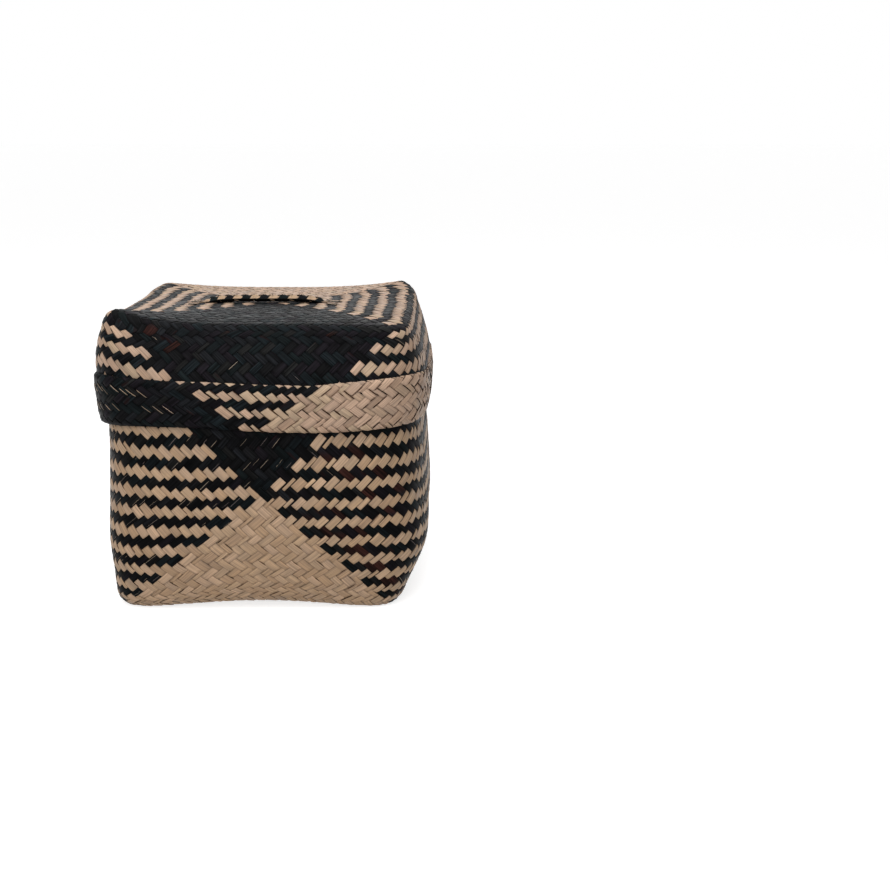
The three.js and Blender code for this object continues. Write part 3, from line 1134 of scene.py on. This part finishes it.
for strand in range(STRANDS):
    s = np.linspace(0, strap_length, 200)
    drift = BEAT_DRIFT * np.sin(s / BEAT_DRIFT_RUN)
    beat = math.tau * (s / period + strand / STRANDS + drift)
    swing_share = np.arcsin(TURN_CRISP * np.sin(beat)) / math.asin(TURN_CRISP)
    side = swing * swing_share * (1 + SWING_DRIFT * np.sin(s / SWING_DRIFT_RUN + 2 * strand))
    heading = np.clip(LEVEL_CRISP * np.cos(beat), -1, 1)
    level = heading * np.cos(STRANDS * beat) * STRAND_LEVEL
    turn = np.arctan(np.gradient(side, s))[:, None]
    tip = TIP * swing_share[:, None]
    across = np.linspace(-STRAND_WIDTH / 2, STRAND_WIDTH / 2, 5)[None, :]
    flat_across = across * np.cos(tip)
    crown = STRAND_CROWN * (1 - (2 * across / STRAND_WIDTH) ** 2)
    points = strap_point(
        s[:, None] - flat_across * np.sin(turn),
        side[:, None] + flat_across * np.cos(turn),
        level[:, None] - across * np.sin(tip) + crown,
    )
    strap_ribbon(strand % 2 == 0, points, across, s[:, None], 0.05 * strand)

# %% [markdown]
# Under the braid lies one black strip folded to a shallow gutter. It is painted shadow: from
# the front it is the dark band below the pale loops, where the strap shades the lid.

# %% The painted shadow under the strap
PAINTED_SHADOW_WIDTH = 13 * MM
PAINTED_SHADOW_DEPTH = 2.2 * MM
PAINTED_SHADOW_BELOW = 0.5 * MM
PAINTED_SHADOW_RUN_IN = 16 * MM
s = np.linspace(TAIL, strap_length - TAIL, 90)[:, None]
across = np.linspace(-PAINTED_SHADOW_WIDTH / 2, PAINTED_SHADOW_WIDTH / 2, 9)[None, :]
depth = PAINTED_SHADOW_DEPTH * smooth(np.minimum(s - TAIL, strap_length - TAIL - s), 0, PAINTED_SHADOW_RUN_IN)
roll = PAINTED_SHADOW_BELOW + depth * np.sqrt(1 - (2 * across / PAINTED_SHADOW_WIDTH) ** 4)
points = strap_point(s + across * 0, across + s * 0, -roll)
# Painted shadow: a black strip for the shade under the braid.
strap_ribbon(False, points, across, s, 0.29)

# %% [markdown]
# Beside each end of the strap its tails lift a few strips of the lid. Their ends run out over
# the lid as short lens shapes and are tucked in there. Some narrow black ones are painted
# shade: dark slits for the shadow between the lifted strips.

# %% Strip ends beside the strap
# In millimetres: how far beside the strap's middle line an end lies, where it starts from the
# strap's leg, its length, its width and its rise. Then whether it is pale.
STRIP_ENDS = [
    (-3.2, -3, 13, 3.2, 1.1, True),
    (0.4, -3, 17, 3.2, 1.1, False),
    (3.6, -3, 14, 3.2, 1.1, True),
    # The next four, narrow and black, are painted shade: dark slits between the lifted strips.
    (-8, 2.5, 9, 1.8, 0.5, False),
    (-16.5, 4, 7.5, 1.8, 0.5, False),
    (2.5, 3.5, 8, 1.6, 0.6, False),
    (11, 1, 10, 2.2, 0.5, False),
    (-12, 3, 8, 3.4, 0.5, True),
    (7, 3, 9, 3, 0.5, True),
]
# As shares: the width that an end keeps at its tips, and how far it turns off to the side.
BLUNT, FANNED = 0.2, 0.2
# How deep an end sits in the lid, and how high and how quick its ripple is.
SUNK, RIPPLE, RIPPLES = 0.2 * MM, 0.12 * MM, 19
for end_side in (-1, 1):
    for offset, start, reach_out, width, rise, is_pale in STRIP_ENDS:
        s = np.linspace(0, 1, 9)[:, None]
        lens = BLUNT + (1 - BLUNT) * np.sqrt(1 - (2 * s - 1) ** 4)
        across = np.linspace(-width / 2, width / 2, 3)[None, :] * lens * MM
        x = strap_middle + end_side * (leg + (start + s * reach_out) * MM) + across * 0
        y = offset * MM * (1 + FANNED * s) + across
        z = lid_flat + rise * MM * (1 - s) ** 2 - SUNK + RIPPLE * np.cos(RIPPLES * s) + across * 0
        points = np.stack([x, y, z], -1)
        strap_ribbon(is_pale, points, across, s * reach_out * MM, 0.3 + 0.01 * offset)

strap_pale.finish("lid", *PALE_LEAF, ["lid_handle"], STRAND_THICKNESS)
strap_black.finish("lid", *BLACK_LEAF, (), STRAND_THICKNESS)

# %% [markdown]
# Floor, light and camera
#
# A pale floor and a pale world, with one broad soft lamp overhead, a smaller one in front and
# a weak one behind. The camera stands 1.1 metres away, a little to the right, and looks down
# by twelve degrees.

# %% The white background
WORLD_LIGHT = 0.32
FLOOR_LIFT = 0.76
FLOOR_HALF = 30


def seen_rays(tree):
    """1 for rays that show the background itself: from the camera, or by gloss or glass."""
    path = add_node(tree, "ShaderNodeLightPath").outputs
    seen = path["Is Camera Ray"]
    for kind in ("Is Glossy Ray", "Is Transmission Ray"):
        either = {0: seen, 1: path[kind]}
        seen = add_node(tree, "ShaderNodeMath", either, operation="MAXIMUM").outputs[0]
    return seen


world = bpy.data.worlds.new("pale_studio")
world.use_nodes = True
tree = world.node_tree
strengths = {0: seen_rays(tree), 1: 1 - WORLD_LIGHT, 2: WORLD_LIGHT}
strength = add_node(tree, "ShaderNodeMath", strengths, operation="MULTIPLY_ADD").outputs[0]
feed(tree, tree.nodes["Background"], {"Color": (1, 1, 1, 1), "Strength": strength})
bpy.context.scene.world = world
print("world:", world.name, "gives light at a strength of", WORLD_LIGHT)

# %% The floor
floor_bm = bmesh.new()
bmesh.ops.create_grid(floor_bm, x_segments=1, y_segments=1, size=FLOOR_HALF)
floor_mesh = bpy.data.meshes.new("floor")
floor_bm.to_mesh(floor_mesh)
floor_bm.free()
floor = add_object("floor", floor_mesh)
# Matt white paper. A little of its own light, only for what is seen, takes it up to white.
paper = bpy.data.materials.new("white_paper_sweep")
paper.use_nodes = True
tree = paper.node_tree
lifted = add_node(tree, "ShaderNodeMath", {0: seen_rays(tree), 1: FLOOR_LIFT}, operation="MULTIPLY")
feed(tree, tree.nodes["Principled BSDF"], {
    "Base Color": linear("#cfcfcf"), "Roughness": 0.95, "Specular IOR Level": 0.1,
    "Emission Color": (1, 1, 1, 1), "Emission Strength": lifted.outputs[0],
})
floor_mesh.materials.append(paper)
print("floor:", 2 * FLOOR_HALF, "m across,", paper.name)

# %% The lamps
# Name, place, what it looks at, size in metres and power in watts.
LAMPS = [
    ("overhead", (-0.05, -0.4, 1.5), (0, 0, 0.1), 1.3, 14.5),
    ("front", (-0.25, -1.5, 0.8), (0, 0, 0.1), 0.9, 8.6),
    ("behind", (-0.1, 1.5, 0.75), (0, 0, 0.2), 1.0, 1.0),
]
for name, place, target, size, power in LAMPS:
    lamp_data = bpy.data.lights.new(name, "AREA")
    lamp_data.shape = "SQUARE"
    lamp_data.size = size
    lamp_data.energy = power
    lamp = add_object(name, lamp_data)
    lamp.location = place
    lamp.rotation_mode = "QUATERNION"
    lamp.rotation_quaternion = (Vector(target) - Vector(place)).to_track_quat("-Z", "Y")
    print("lamp:", name, power, "W")

# %% The camera
CAMERA_PLACE = (0.1336, -1.1146, 0.3439)
CAMERA_DOWN = math.radians(12.39)
FOCAL_PIXELS = 1441
FRAME_PIXELS = 890
SENSOR = 36.0
camera_data = bpy.data.cameras.new("camera")
camera_data.sensor_width = SENSOR
camera_data.lens = SENSOR * FOCAL_PIXELS / FRAME_PIXELS
camera = add_object("camera", camera_data)
camera.location = CAMERA_PLACE
camera.rotation_euler = (math.pi / 2 - CAMERA_DOWN, 0, 0)
bpy.context.scene.camera = camera
bpy.context.scene.view_settings.view_transform = "Standard"
print("camera:", round(camera_data.lens, 1), "mm lens")
